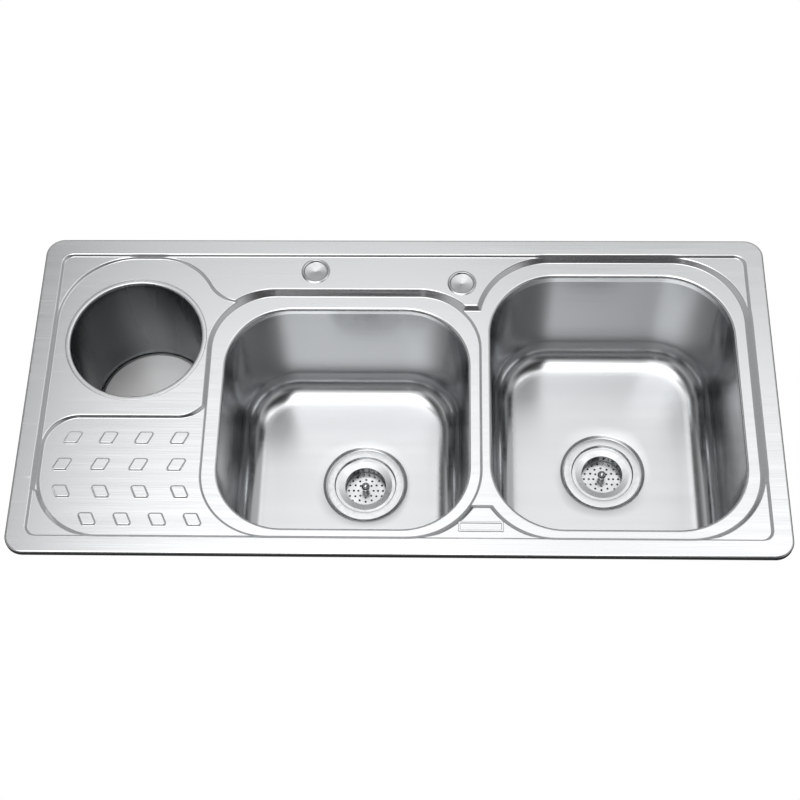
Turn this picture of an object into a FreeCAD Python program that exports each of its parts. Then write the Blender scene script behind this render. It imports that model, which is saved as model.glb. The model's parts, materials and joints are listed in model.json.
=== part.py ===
import FreeCAD, Part
import math
import os

Vector = FreeCAD.Vector
os.makedirs("parts", exist_ok=True)

# Inset kitchen sink with two bowls, a drainer and a round waste bin, in mm.
# Origin: centre of the rim outline, on the worktop. +X right, +Y rear, +Z up.

# ---------------------------------------------------------------- sheet metal
SHEET = 0.8              # deck and bowl steel
COLLAR_END = -14.0       # openings are turned down to here
FORM_BOTTOM = -20.0      # underside of the forming block, below every collar
EDGE_ROLL = 4.0          # radius where the deck turns down into an opening
CUT_ABOVE = 1.0          # cutters run this far past the surface they leave

# ---------------------------------------------------------------- deck outline
RIM_X = 500.0
RIM_Y = 240.0
RIM_CORNER = 25.0
RIM_TOP = 8.0
RIM_ROLL = 3.0
STEP_X = 475.5           # where the rim band drops to the ledge
STEP_REAR = 215.2
STEP_FRONT = -216.5
STEP_CORNER = 16.0
FRONT_RUN = 0.65         # slopes at the front rim run this far for each mm they drop

# ---------------------------------------------------------------- deck levels
LEDGE_Z = 5.0
BIN_PAN_Z = 2.5
TRAY_Z = -1.0
CENTRE_PAN_Z = -3.3
STAGGER = 0.3            # each deeper pan opens this much wider at the rim

# ---------------------------------------------------------------- bowls
FLOOR_Z = -200.0
BOWL_DRAFT = 8.0         # the wall leans in by this much over its height
BOWL_FLOOR_ROLL = 38.0
LAP = 6.0                # height of the lap joint around each deck collar
LAP_FOOT = 2.0           # the lap's thickened foot below the collar
BOWLS = {
    "centre": {
        "box": (-237.0, 91.0, -198.0, 131.0),
        "corner": 88.0,
        "drain": (-53.0, -39.0),
    },
    "right": {
        "box": (122.0, 451.0, -198.0, 185.0),
        "corner": 93.0,
        "drain": (286.0, -18.0),
    },
}

# ---------------------------------------------------------------- drains
DRAIN_RECESS_R = 56.0
DRAIN_RECESS = 3.0
DRAIN_HOLE_R = 45.0
FLANGE_R = 55.0
GASKET = 1.0             # between flange and bowl
LOWER_GASKET = 2.0       # under the bowl
FRICTION_WASHER = 1.2    # lets the nut turn without dragging the gasket
WASHER_R = 52.0
LOCK_NUT_R = 50.0
LOCK_NUT_HEIGHT = 10.0
LOCK_NUT_LUGS = 8
LUG_REACH = 4.0
LUG_WIDTH = 8.0
CUP_R = 40.3
CUP_DEPTH = 42.0
CONE_DROP = 8.0          # from the cup's floor to the outlet
OUTLET_R = 23.9
OUTLET_WALL = 1.4
OUTLET_END = 74.0
SEAT_DEPTH = 4.8         # flange top to the basket's seat
BASKET_RIM_R = 42.8
BASKET_GAP = 0.4         # round the basket's rim in its seat
BASKET_CUP_R = 30.0
BASKET_DEPTH = 21.8
BASKET_DISH = 1.5         # fall of the basket's flange towards its cup
STEM_R = 2.5
STEM_GAP = 0.05
BUSH_WALL = 2.5          # round the stem, in the basket's floor
BUSH_HEIGHT = 4.0
FLOOR_HOLE_R = 1.6
SIDE_HOLE_R = 1.5
SIDE_HOLES = 24
KNOB_R = 6.0
STOPPER_R = 28.0
STOPPER_PLATE = 0.8

# ---------------------------------------------------------------- waste bin
BIN_X = -361.0
BIN_Y = 80.0
BIN_HOLE_R = 93.0
BIN_FLANGE_R = 96.0
BIN_SEAT = 1.0
BIN_SEAT_GAP = 0.3       # round the flange in its recess
BIN_TOP_R = 89.5
BIN_FOOT_R = 82.0
BIN_FLOOR_Z = -172.0
BIN_SKIRT = 6.0          # the can and its base end this far below the bin floor
BIN_SEAM_ANGLE = 97.0    # the can's weld seam, from +X
BIN_SEAM = 3.0

# ---------------------------------------------------------------- drainer
STUD_LENGTH = 18.5
STUD_DEPTH = 17.0
STUD_SLANT = 8.0
STUD_HEIGHT = 1.3
STUD_CORNER = 3.0
STUD_COLUMNS = 4
STUD_REAR_Y = -71.0      # centre line of the rear row
STUD_ROW_PITCH = 39.3
STUD_FIRST_X = (-430.0, -440.0, -437.0, -399.0)     # leftmost stud of each row, rear to front
STUD_LAST_X = (-289.0, -290.0, -283.0, -263.0)      # rightmost stud of each row
STUD_LEANS = (1.0, 1.0, -1.0, -1.0)                 # the rear rows lean right, the front ones left

# ---------------------------------------------------------------- fittings
TAP_HOLES = {"left": (-120.0, 189.0), "right": (83.0, 170.0)}
TAP_HOLE_R = 17.5
CAP_R = 20.0
CAP_STUD_R = 3.0
CAP_STUD_LENGTH = 34.0
CAP_CLAMP_R = 24.0
CAP_WASHER = 2.0
CAP_PLATE = 1.6
M6_ACROSS = 10.0
M6_HEIGHT = 5.0
SEAL_OUT = 3.4           # the seal strip starts this far inside the rim outline
SEAL_WIDTH = 6.0
PAD = 2.5                # damping pad under each bowl
PAD_CORNER = 40.0
PAD_HOLE_R = 66.0
PLAQUE_X = 106.5
PLAQUE_Y = -198.8
PLAQUE_LENGTH = 58.0
PLAQUE_WIDTH = 14.6
PLAQUE_THICK = 1.2
PLAQUE_FRAME = 1.6       # width of the raised frame round its face
PLAQUE_BEVEL = 0.7
CLIP_LINES_X = (-330.0, 0.0, 330.0)
CLIP_INSET = 21.0        # clip screws stand this far inside the rim outline
CLIP_SCREW_R = 2.5
CLIP_HALF = 15.0         # half the bracket's width
CLIP_PLATE = 1.5
CLIP_FOOT = -18.0
CLIP_NUT_ACROSS = 10.0
CLIP_NUT_HEIGHT = 4.0
CLAW_HALF = 10.0
CLAW_PLATE = 2.0
CLAW_DEPTH = 16.0
WORKTOP = 30.0           # the claws are drawn gripping a worktop this thick


def rounded(points, radii, z):
    """A closed wire at height z through a polygon with rounded corners, listed anticlockwise."""
    count = len(points)
    starts = []
    ends = []
    middles = []
    for i, (x, y) in enumerate(points):
        here = Vector(x, y, z)
        before = Vector(points[i - 1][0], points[i - 1][1], z)
        after = Vector(points[(i + 1) % count][0], points[(i + 1) % count][1], z)
        back = (before - here).normalize()
        ahead = (after - here).normalize()
        half = back.getAngle(ahead) / 2
        reach = radii[i] / math.tan(half)
        bisector = (back + ahead).normalize()
        starts.append(here + back * reach)
        ends.append(here + ahead * reach)
        middles.append(here + bisector * (radii[i] / math.sin(half) - radii[i]))
    edges = []
    for i in range(count):
        if radii[i] > 0:
            edges.append(Part.Arc(starts[i], middles[i], ends[i]).toShape())
        gap = starts[(i + 1) % count] - ends[i]
        if gap.Length > 1e-6:
            edges.append(Part.makeLine(ends[i], starts[(i + 1) % count]))
    return Part.Wire(edges)


def grown(points, radii, distance):
    """The same rounded polygon with every side moved outward by a distance."""
    count = len(points)
    new_points = []
    new_radii = []
    for i, (x, y) in enumerate(points):
        px, py = points[i - 1]
        nx, ny = points[(i + 1) % count]
        in_dir = Vector(x - px, y - py, 0).normalize()
        out_dir = Vector(nx - x, ny - y, 0).normalize()
        in_normal = Vector(in_dir.y, -in_dir.x, 0)
        out_normal = Vector(out_dir.y, -out_dir.x, 0)
        move = (in_normal + out_normal) * (distance / (1 + in_normal.dot(out_normal)))
        new_points.append((x + move.x, y + move.y))
        convex = in_dir.x * out_dir.y - in_dir.y * out_dir.x > 0
        new_radii.append(max(radii[i] + (distance if convex else -distance), 0.0) if radii[i] else 0.0)
    return new_points, new_radii


def box_outline(box, corner):
    """A rounded rectangle as polygon points and corner radii."""
    x0, x1, y0, y1 = box
    return [(x0, y0), (x1, y0), (x1, y1), (x0, y1)], [corner] * 4


def prism(outline, z0, z1, grow=0.0):
    """A straight solid over an outline."""
    points, radii = grown(outline[0], outline[1], grow)
    return Part.Face(rounded(points, radii, z0)).extrude(Vector(0, 0, z1 - z0))


def flared(outline, z0, z1, spread, grow=0.0, front_run=1.0):
    """A solid over an outline that widens by spread from z0 to z1, by front_run of that in front."""
    low = grown(outline[0], outline[1], grow)
    high = grown(outline[0], outline[1], grow + spread)
    front = min(y for x, y in high[0])
    steep = front + spread * (1.0 - front_run)
    high = [(x, max(y, steep)) for x, y in high[0]], high[1]
    wires = [rounded(low[0], low[1], z0), rounded(high[0], high[1], z1)]
    return Part.makeLoft(wires, True, True)


def turned(profile, x=0.0, y=0.0):
    """A solid of revolution about the vertical through x, y from (radius, z) points."""
    points = [Vector(r, 0, z) for r, z in profile]
    face = Part.Face(Part.makePolygon(points + points[:1]))
    solid = face.revolve(Vector(0, 0, 0), Vector(0, 0, 1), 360)
    solid.translate(Vector(x, y, 0))
    return solid


def ring(outer, inner, z0, z1, x=0.0, y=0.0):
    """A flat ring between two heights."""
    return turned([(inner, z0), (outer, z0), (outer, z1), (inner, z1)], x, y)


def disc(radius, z0, z1, x=0.0, y=0.0):
    """An upright cylinder between two heights."""
    return Part.makeCylinder(radius, z1 - z0, Vector(x, y, z0))


def hex_prism(across, z0, z1, x=0.0, y=0.0):
    """An upright hexagonal prism between two heights."""
    radius = across / 2 / math.cos(math.pi / 6)
    corners = [Vector(radius * math.cos(a), radius * math.sin(a), z0)
               for a in (math.radians(60 * i) for i in range(6))]
    solid = Part.Face(Part.makePolygon(corners + corners[:1])).extrude(Vector(0, 0, z1 - z0))
    solid.translate(Vector(x, y, 0))
    return solid


def block(x0, x1, y0, y1, z0, z1):
    """A rectangular block between opposite corners."""
    return Part.makeBox(x1 - x0, y1 - y0, z1 - z0, Vector(x0, y0, z0))


def level_edges(shape, z, box):
    """Edges lying flat at a height, inside a plan box."""
    x0, x1, y0, y1 = box
    found = []
    for edge in shape.Edges:
        b = edge.BoundBox
        flat = abs(b.ZMin - z) < 1e-4 and abs(b.ZMax - z) < 1e-4
        inside = b.XMin > x0 and b.XMax < x1 and b.YMin > y0 and b.YMax < y1
        if flat and inside:
            found.append(edge)
    return found


def around(box, margin):
    """A plan box widened on every side."""
    x0, x1, y0, y1 = box
    return x0 - margin, x1 + margin, y0 - margin, y1 + margin


def save(name, *solids):
    """Write one node, holding one solid or a group of separate solids."""
    shape = solids[0] if len(solids) == 1 else Part.makeCompound(list(solids))
    shape.exportStep(os.path.join("parts", name + ".step"))


# ---------------------------------------------------------------- pans in the deck
RIM_OUTLINE = box_outline((-RIM_X, RIM_X, -RIM_Y, RIM_Y), RIM_CORNER)


def step_in(z, order):
    """Distance inside the rim step where a 45 degree slope from the rim reaches height z."""
    return RIM_TOP - z - STAGGER * order


def step_front(z, order):
    """The y where the steeper front slope from the rim reaches height z."""
    return STEP_FRONT + FRONT_RUN * step_in(z, order)


LEDGE_IN = step_in(LEDGE_Z, 0)
LEDGE = box_outline((-STEP_X + LEDGE_IN, STEP_X - LEDGE_IN, step_front(LEDGE_Z, 0), STEP_REAR - LEDGE_IN),
                    STEP_CORNER - LEDGE_IN)
BIN_IN = step_in(BIN_PAN_Z, 1)
TRAY_IN = step_in(TRAY_Z, 2)
RIGHT_IN = step_in(TRAY_Z, 3)
CENTRE_FRONT = step_front(CENTRE_PAN_Z, 4)
TRAY_FRONT = step_front(TRAY_Z, 2)

BIN_PAN = (
    [(-STEP_X + BIN_IN, -150.0), (-245.0, -150.0), (-180.0, 100.0), (-180.0, 138.0),
     (-250.0, 138.0), (-291.7, STEP_REAR - BIN_IN), (-STEP_X + BIN_IN, STEP_REAR - BIN_IN)],
    [0.0, 0.0, 0.0, 0.0, 53.0, 84.0, 101.0],
)
TRAY = (
    [(-STEP_X + TRAY_IN, TRAY_FRONT), (-150.0, TRAY_FRONT), (-150.0, 60.0),
     (-250.0, 60.0), (-250.0, -41.5), (-STEP_X + TRAY_IN, -41.5)],
    [85.0, 0.0, 0.0, 0.0, 44.0, 44.0],
)
CENTRE_PAN = (
    [(-257.0, CENTRE_FRONT), (106.6, CENTRE_FRONT), (106.6, 152.0), (-257.0, 152.0)],
    [90.0, 96.0, 84.0, 84.0],
)
RIGHT_PAN = box_outline(
    (107.4, STEP_X - RIGHT_IN, step_front(TRAY_Z, 3), STEP_REAR - RIGHT_IN), 96.0)
DIVIDER = (
    [(60.0, -166.0), (150.0, -166.0), (150.0, 128.0), (60.0, 128.0)],
    [0.0, 0.0, 0.0, 0.0],
)
PANS = ((LEDGE, LEDGE_Z), (BIN_PAN, BIN_PAN_Z), (TRAY, TRAY_Z), (RIGHT_PAN, TRAY_Z),
        (DIVIDER, TRAY_Z), (CENTRE_PAN, CENTRE_PAN_Z))
OPENINGS = {name: box_outline(bowl["box"], bowl["corner"]) for name, bowl in BOWLS.items()}
OPENING_LEVEL = {"centre": CENTRE_PAN_Z, "right": TRAY_Z}


def studs():
    """Raised draining studs, leaning one way in the rear rows and the other way in front."""
    found = []
    low = TRAY_Z - CUT_ABOVE
    high = TRAY_Z + STUD_HEIGHT
    half = STUD_LENGTH / 2
    deep = STUD_DEPTH / 2
    for row, (first_x, last_x, lean) in enumerate(zip(STUD_FIRST_X, STUD_LAST_X, STUD_LEANS)):
        y = STUD_REAR_Y - row * STUD_ROW_PITCH
        slant = lean * STUD_SLANT / 2
        for column in range(STUD_COLUMNS):
            x = first_x + (last_x - first_x) * column / (STUD_COLUMNS - 1)
            foot = [(x - half - slant, y - deep), (x + half - slant, y - deep),
                    (x + half + slant, y + deep), (x - half + slant, y + deep)]
            found.append(flared((foot, [STUD_CORNER] * 4), low, high, low - high))
    return found


def deck_form(wall):
    """The block whose top is the deck surface (wall 0) or its underside (wall = sheet)."""
    form = prism(RIM_OUTLINE, FORM_BOTTOM - wall, RIM_TOP, -wall)
    rim_edges = level_edges(form, RIM_TOP, around((-RIM_X, RIM_X, -RIM_Y, RIM_Y), 1.0))
    form = form.makeFillet(RIM_ROLL - wall, rim_edges)
    top = RIM_TOP + CUT_ABOVE
    form = form.cut([flared(outline, z, top, top - z, 0.0, FRONT_RUN) for outline, z in PANS])
    form = form.fuse(studs())
    form = form.cut(disc(BIN_FLANGE_R + BIN_SEAT_GAP + wall, BIN_PAN_Z - BIN_SEAT, top, BIN_X, BIN_Y))
    for name, outline in OPENINGS.items():
        form = form.cut(prism(outline, FORM_BOTTOM - 2 * SHEET, top, wall))
        near = around(BOWLS[name]["box"], 2 * SHEET)
        edges = level_edges(form, OPENING_LEVEL[name], near)
        form = form.makeFillet(EDGE_ROLL - wall, edges)
    form = form.cut(disc(BIN_HOLE_R + wall, FORM_BOTTOM - 2 * SHEET, top, BIN_X, BIN_Y))
    for x, y in TAP_HOLES.values():
        form = form.cut(disc(TAP_HOLE_R, FORM_BOTTOM - 2 * SHEET, top, x, y))
    if wall:
        form.translate(Vector(0, 0, -wall))
    return form


def deck():
    """Pressed top: constant sheet, lip turned down to the worktop, collars round the openings."""
    sheet = deck_form(0.0).cut(deck_form(SHEET))
    inside_lip = grown(RIM_OUTLINE[0], RIM_OUTLINE[1], -3 * SHEET)
    under_lip = prism(RIM_OUTLINE, 2 * FORM_BOTTOM, 0.0, 1.0)
    under_lip = under_lip.cut(prism(inside_lip, 2 * FORM_BOTTOM - 1, 1.0))
    sheet = sheet.cut(under_lip)
    sheet = sheet.cut(block(-RIM_X - 1, RIM_X + 1, -RIM_Y - 1, RIM_Y + 1, 2 * FORM_BOTTOM, COLLAR_END))
    return sheet


def bowl(name):
    """Drawn bowl, lapped round the deck collar, with a sunk seat and hole for its drain."""
    outline = OPENINGS[name]
    x, y = BOWLS[name]["drain"]

    def cavity(wall):
        body = flared(outline, FLOOR_Z - wall, COLLAR_END, BOWL_DRAFT, wall - BOWL_DRAFT)
        floor_edges = level_edges(body, FLOOR_Z - wall, around(BOWLS[name]["box"], 2.0))
        return body.makeFillet(BOWL_FLOOR_ROLL + wall, floor_edges)

    def recess(wall):
        bottom = FLOOR_Z - DRAIN_RECESS - wall
        return Part.makeCone(DRAIN_RECESS_R + wall, DRAIN_RECESS_R + DRAIN_RECESS + wall,
                             DRAIN_RECESS + wall, Vector(x, y, bottom))

    outer = cavity(SHEET).fuse(recess(SHEET))
    outer = outer.fuse(prism(outline, COLLAR_END - LAP_FOOT, COLLAR_END + LAP, 2 * SHEET))
    shell = outer.cut(cavity(0.0)).cut(recess(0.0))
    shell = shell.cut(prism(outline, COLLAR_END, COLLAR_END + LAP + CUT_ABOVE, SHEET))
    return shell.cut(disc(DRAIN_HOLE_R, FLOOR_Z - 3 * DRAIN_RECESS, FLOOR_Z, x, y))


def drain(name):
    """Everything in one drain, from the flange in the bowl to the lock nut under it."""
    x, y = BOWLS[name]["drain"]
    seat = FLOOR_Z - DRAIN_RECESS
    top = seat + GASKET + SHEET
    gasket_top = seat - SHEET
    washer_top = gasket_top - LOWER_GASKET
    nut_top = washer_top - FRICTION_WASHER
    nut_foot = nut_top - LOCK_NUT_HEIGHT
    ledge = top - SEAT_DEPTH
    cup_floor = top - CUP_DEPTH
    throat = cup_floor - CONE_DROP
    tail = top - OUTLET_END
    seat_r = BASKET_RIM_R + BASKET_GAP
    parts = {}
    # flange, seat for the basket, cup, cone and threaded outlet as one pressed body
    parts["strainer_body"] = turned([
        (FLANGE_R, top - SHEET), (FLANGE_R, top), (seat_r + 1.0, top), (seat_r, top - 1.2),
        (seat_r, ledge), (CUP_R - SHEET, ledge), (CUP_R - SHEET, cup_floor),
        (OUTLET_R - OUTLET_WALL, throat), (OUTLET_R - OUTLET_WALL, tail), (OUTLET_R, tail),
        (OUTLET_R, throat - SHEET), (CUP_R, cup_floor - SHEET), (CUP_R, ledge - SHEET),
        (seat_r + SHEET, ledge - SHEET), (seat_r + SHEET, top - SHEET)], x, y)
    parts["drain_top_gasket"] = ring(FLANGE_R - 0.5, DRAIN_HOLE_R + 0.5, seat, seat + GASKET, x, y)
    bore = seat_r + 1.5 * SHEET
    parts["drain_under_gasket"] = ring(WASHER_R, bore, washer_top, gasket_top, x, y)
    parts["drain_friction_washer"] = ring(WASHER_R, bore, nut_top, washer_top, x, y)
    nut = ring(LOCK_NUT_R, CUP_R + 0.1, nut_foot, nut_top, x, y)
    for i in range(LOCK_NUT_LUGS):
        lug = block(LOCK_NUT_R - 1.0, LOCK_NUT_R + LUG_REACH, -LUG_WIDTH / 2, LUG_WIDTH / 2,
                    nut_foot, nut_top)
        lug.rotate(Vector(0, 0, 0), Vector(0, 0, 1), 360 * i / LOCK_NUT_LUGS)
        lug.translate(Vector(x, y, 0))
        nut = nut.fuse(lug)
    parts["drain_lock_nut"] = nut
    parts["basket"] = basket(x, y, ledge, top - BASKET_DEPTH)
    parts.update(stopper(x, y, top - BASKET_DEPTH, cup_floor, throat))
    return parts


def basket(x, y, ledge, floor):
    """The lift-out basket: rim on the seat, perforated cup, and a bush for the stopper's stem."""
    bore = STEM_R + STEM_GAP
    bush_r = STEM_R + BUSH_WALL
    inside = BASKET_CUP_R - SHEET
    shape = turned([
        (bore, floor), (BASKET_CUP_R - 1.5, floor), (BASKET_CUP_R, floor + 1.5),
        (BASKET_CUP_R, ledge - BASKET_DISH), (BASKET_RIM_R - 4.4, ledge), (BASKET_RIM_R, ledge),
        (BASKET_RIM_R, ledge + SHEET), (BASKET_RIM_R - 4.5, ledge + SHEET),
        (inside, ledge + SHEET - BASKET_DISH),
        (inside, floor + 1.8), (BASKET_CUP_R - 1.8, floor + SHEET), (bush_r, floor + SHEET),
        (bush_r, floor + BUSH_HEIGHT), (bore, floor + BUSH_HEIGHT)])
    holes = []
    for count, radius in ((18, 24.5), (12, 17.5), (8, 11.0)):
        for i in range(count):
            angle = 2 * math.pi * i / count
            holes.append(disc(FLOOR_HOLE_R, floor - 1.0, floor + 2.0,
                              radius * math.cos(angle), radius * math.sin(angle)))
    for rise in (6.0, 11.0):
        for i in range(SIDE_HOLES):
            drill = Part.makeCylinder(SIDE_HOLE_R, 8.0, Vector(BASKET_CUP_R - 5.0, 0, floor + rise),
                                      Vector(1, 0, 0))
            drill.rotate(Vector(0, 0, 0), Vector(0, 0, 1), (i + 0.5) * 360 / SIDE_HOLES)
            holes.append(drill)
    shape = shape.cut(holes)
    shape.translate(Vector(x, y, 0))
    return shape


def stopper(x, y, basket_floor, cup_floor, throat):
    """The stopper that slides through the basket: stem, ball knob, plate and rubber seal."""
    outlet_r = OUTLET_R - OUTLET_WALL
    cup_r = CUP_R - SHEET
    cone_slope = (throat - cup_floor) / (outlet_r - cup_r)

    def cone_z(radius):
        """Height of the outlet cone at a radius."""
        return cup_floor - cone_slope * (cup_r - radius)

    seal_foot_r = outlet_r + 2.0
    foot = cone_z(seal_foot_r)
    top = cone_z(STOPPER_R) + 3.5
    stem_top = basket_floor + 12.0
    head_r = STEM_R + 2.5
    stem = turned([
        (0, foot - 1.0), (head_r, foot - 1.0), (head_r, foot), (STEM_R, foot), (STEM_R, stem_top),
        (0, stem_top)], x, y)
    knob = Part.makeSphere(KNOB_R, Vector(x, y, stem_top + 2.0))
    knob = knob.cut(disc(STEM_R, basket_floor, stem_top, x, y))
    plate = ring(STOPPER_R - 3.0, STEM_R, top, top + STOPPER_PLATE, x, y)
    seal = turned([
        (STEM_R, foot), (seal_foot_r, foot), (STOPPER_R, cone_z(STOPPER_R)), (STOPPER_R, top - 1.5),
        (STOPPER_R - 1.5, top), (STEM_R, top)], x, y)
    return {"stopper_stem": stem, "stopper_knob": knob, "stopper_plate": plate, "stopper_seal": seal}


def waste_bin():
    """Lift-out bin: rolled can hung by its flange, and a dished base welded in its foot."""
    lip = BIN_PAN_Z - BIN_SEAT
    foot = BIN_FLOOR_Z - BIN_SKIRT
    can = turned([
        (BIN_FOOT_R + SHEET, foot), (BIN_TOP_R + SHEET, lip - 2.5), (BIN_TOP_R + 1.4, lip - 0.7),
        (BIN_TOP_R + 3.2, lip), (BIN_FLANGE_R, lip), (BIN_FLANGE_R, lip + SHEET),
        (BIN_TOP_R + 2.8, lip + SHEET), (BIN_TOP_R + 0.9, lip - 0.2), (BIN_TOP_R, lip - 2.2),
        (BIN_FOOT_R, foot)])
    lean = math.degrees(math.atan((BIN_TOP_R - BIN_FOOT_R) / (lip - BIN_FLOOR_Z)))
    seam = block(BIN_FOOT_R - 0.3, BIN_FOOT_R + 0.4, -BIN_SEAM / 2, BIN_SEAM / 2,
                 BIN_FLOOR_Z + 1.0, lip - 6.0)
    seam.rotate(Vector(BIN_FOOT_R, 0, BIN_FLOOR_Z), Vector(0, 1, 0), lean)
    seam.rotate(Vector(0, 0, 0), Vector(0, 0, 1), BIN_SEAM_ANGLE)
    can = can.fuse(seam)
    can.translate(Vector(BIN_X, BIN_Y, 0))
    base = turned([
        (0, BIN_FLOOR_Z), (BIN_FOOT_R - 5.0, BIN_FLOOR_Z), (BIN_FOOT_R - 1.4, BIN_FLOOR_Z - 1.0),
        (BIN_FOOT_R, BIN_FLOOR_Z - 2.6), (BIN_FOOT_R, foot), (BIN_FOOT_R - SHEET, foot),
        (BIN_FOOT_R - SHEET, BIN_FLOOR_Z - 2.9), (BIN_FOOT_R - 1.9, BIN_FLOOR_Z - 1.7),
        (BIN_FOOT_R - 5.1, BIN_FLOOR_Z - SHEET), (0, BIN_FLOOR_Z - SHEET)],
        BIN_X, BIN_Y)
    return can, base


def tap_cap(x, y):
    """Dished blanking cap with a stud, and the washer, clamp plate and nut that pull it down."""
    z = LEDGE_Z
    under = z - SHEET
    plate_top = under - CAP_WASHER
    nut_top = plate_top - CAP_PLATE
    cap = turned([
        (0, z - 2.1), (14.0, z - 1.9), (15.9, z - 1.6), (16.5, z - 1.2), (17.3, z), (CAP_R, z),
        (CAP_R, z + 0.2), (18.0, z + 1.1), (17.2, z + 0.9), (15.7, z - 0.7), (13.5, z - 1.1),
        (0, z - 1.3)])
    cap = cap.fuse(disc(CAP_STUD_R, z - CAP_STUD_LENGTH, z - 1.9))
    washer = ring(CAP_CLAMP_R, TAP_HOLE_R, plate_top, under)
    plate = ring(CAP_CLAMP_R, CAP_STUD_R + 0.3, nut_top, plate_top)
    nut = hex_prism(M6_ACROSS, nut_top - M6_HEIGHT, nut_top)
    nut = nut.cut(disc(CAP_STUD_R + 0.05, nut_top - M6_HEIGHT - 1.0, nut_top + 1.0))
    for shape in (cap, washer, plate, nut):
        shape.translate(Vector(x, y, 0))
    return cap, washer, plate, nut


def rim_clip(x, y, angle):
    """Welded bracket with its nut, a claw that grips under the worktop, and the screw between them.

    Built at the front rim, then turned about the vertical to the side it serves.
    """
    top = RIM_TOP - SHEET
    nut_foot = CLIP_FOOT + CLIP_PLATE
    nut_top = nut_foot + CLIP_NUT_HEIGHT
    bracket = block(-CLIP_HALF, CLIP_HALF, -9.5, 1.0, top - CLIP_PLATE, top)
    bracket = bracket.fuse(block(-CLIP_HALF, CLIP_HALF, -9.5, -8.0, CLIP_FOOT, top))
    bracket = bracket.fuse(block(-CLIP_HALF, CLIP_HALF, -9.5, 7.0, CLIP_FOOT, nut_foot))
    bracket = bracket.fuse(hex_prism(CLIP_NUT_ACROSS, nut_foot, nut_top))
    bracket = bracket.cut(disc(CLIP_SCREW_R + 0.05, CLIP_FOOT - 1.0, nut_top + 1.0))
    jaw = -WORKTOP
    base = jaw - CLAW_DEPTH
    claw = block(-CLAW_HALF, CLAW_HALF, -18.5, 7.0, base, base + CLAW_PLATE)
    claw = claw.fuse(block(-CLAW_HALF, CLAW_HALF, -18.5, -16.5, base, jaw))
    claw = claw.cut(disc(CLIP_SCREW_R + 0.1, base - 1.0, base + CLAW_PLATE + 1.0))
    head_top = base - 0.05
    collar = base + CLAW_PLATE + 0.05
    screw = disc(CLIP_SCREW_R, head_top, -2.0)
    screw = screw.fuse(disc(4.5, head_top - 4.0, head_top))
    screw = screw.fuse(disc(3.8, collar, collar + 1.0))
    screw = screw.cut(block(-5.0, 5.0, -0.6, 0.6, head_top - 5.0, head_top - 2.5))
    for shape in (bracket, claw, screw):
        shape.rotate(Vector(0, 0, 0), Vector(0, 0, 1), angle)
        shape.translate(Vector(x, y, 0))
    return bracket, claw, screw


def rim_seal():
    """Foam strip round the rim, between the lip and the cut-out."""
    outside = prism(RIM_OUTLINE, 0.0, RIM_TOP - SHEET, -SEAL_OUT)
    return outside.cut(prism(RIM_OUTLINE, -CUT_ABOVE, RIM_TOP, -SEAL_OUT - SEAL_WIDTH))


def plaque():
    """Blank plaque on the corner land between the bowls: a bevelled plate with a raised frame."""
    half_x = PLAQUE_LENGTH / 2
    half_y = PLAQUE_WIDTH / 2
    box = (PLAQUE_X - half_x, PLAQUE_X + half_x, PLAQUE_Y - half_y, PLAQUE_Y + half_y)
    outline = box_outline(box, 1.5)
    top = LEDGE_Z + PLAQUE_THICK
    shoulder = top - PLAQUE_BEVEL
    plate = prism(outline, LEDGE_Z, shoulder).fuse(flared(outline, shoulder, top, -PLAQUE_BEVEL))
    field = box_outline(around(box, -PLAQUE_FRAME - 2 * PLAQUE_BEVEL), 0.5)
    return plate.cut(flared(field, shoulder, top + CUT_ABOVE, PLAQUE_BEVEL + CUT_ABOVE))


def sound_pad(name):
    """Damping pad stuck under a bowl floor, cut out round the drain."""
    x0, x1, y0, y1 = BOWLS[name]["box"]
    inset = BOWL_DRAFT + BOWL_FLOOR_ROLL + 4.0
    top = FLOOR_Z - SHEET
    outline = box_outline((x0 + inset, x1 - inset, y0 + inset, y1 - inset), PAD_CORNER)
    x, y = BOWLS[name]["drain"]
    return prism(outline, top - PAD, top).cut(disc(PAD_HOLE_R, top - 2 * PAD, top + PAD, x, y))


save("deck", deck())
save("rim_seal", rim_seal())
save("plaque", plaque())
for bowl_name in BOWLS:
    save("bowl_" + bowl_name, bowl(bowl_name))
    save("sound_pad_" + bowl_name, sound_pad(bowl_name))
    for part_name, solid in drain(bowl_name).items():
        save(part_name + "_" + bowl_name, solid)
bin_can, bin_base = waste_bin()
save("bin_can", bin_can)
save("bin_base", bin_base)
for side, (tap_x, tap_y) in TAP_HOLES.items():
    cap, washer, plate, nut = tap_cap(tap_x, tap_y)
    save("tap_cap_" + side, cap)
    save("tap_cap_washer_" + side, washer)
    save("tap_cap_plate_" + side, plate)
    save("tap_cap_nut_" + side, nut)
clip_y = RIM_Y - CLIP_INSET
clip_x = RIM_X - CLIP_INSET
places = [(x, -clip_y, 0) for x in CLIP_LINES_X]
places += [(clip_x, 0.0, 90)]
places += [(x, clip_y, 180) for x in reversed(CLIP_LINES_X)]
places += [(-clip_x, 0.0, 270)]
brackets = []
for number, (x, y, angle) in enumerate(places, 1):
    bracket, claw, screw = rim_clip(x, y, angle)
    brackets.append(bracket)
    save("clip_claw_%d" % number, claw)
    save("clip_screw_%d" % number, screw)
save("clip_brackets", *brackets)
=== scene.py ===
import json
import math

import bpy
import numpy as np
from mathutils import Matrix, Vector
from mathutils.geometry import delaunay_2d_cdt


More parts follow.
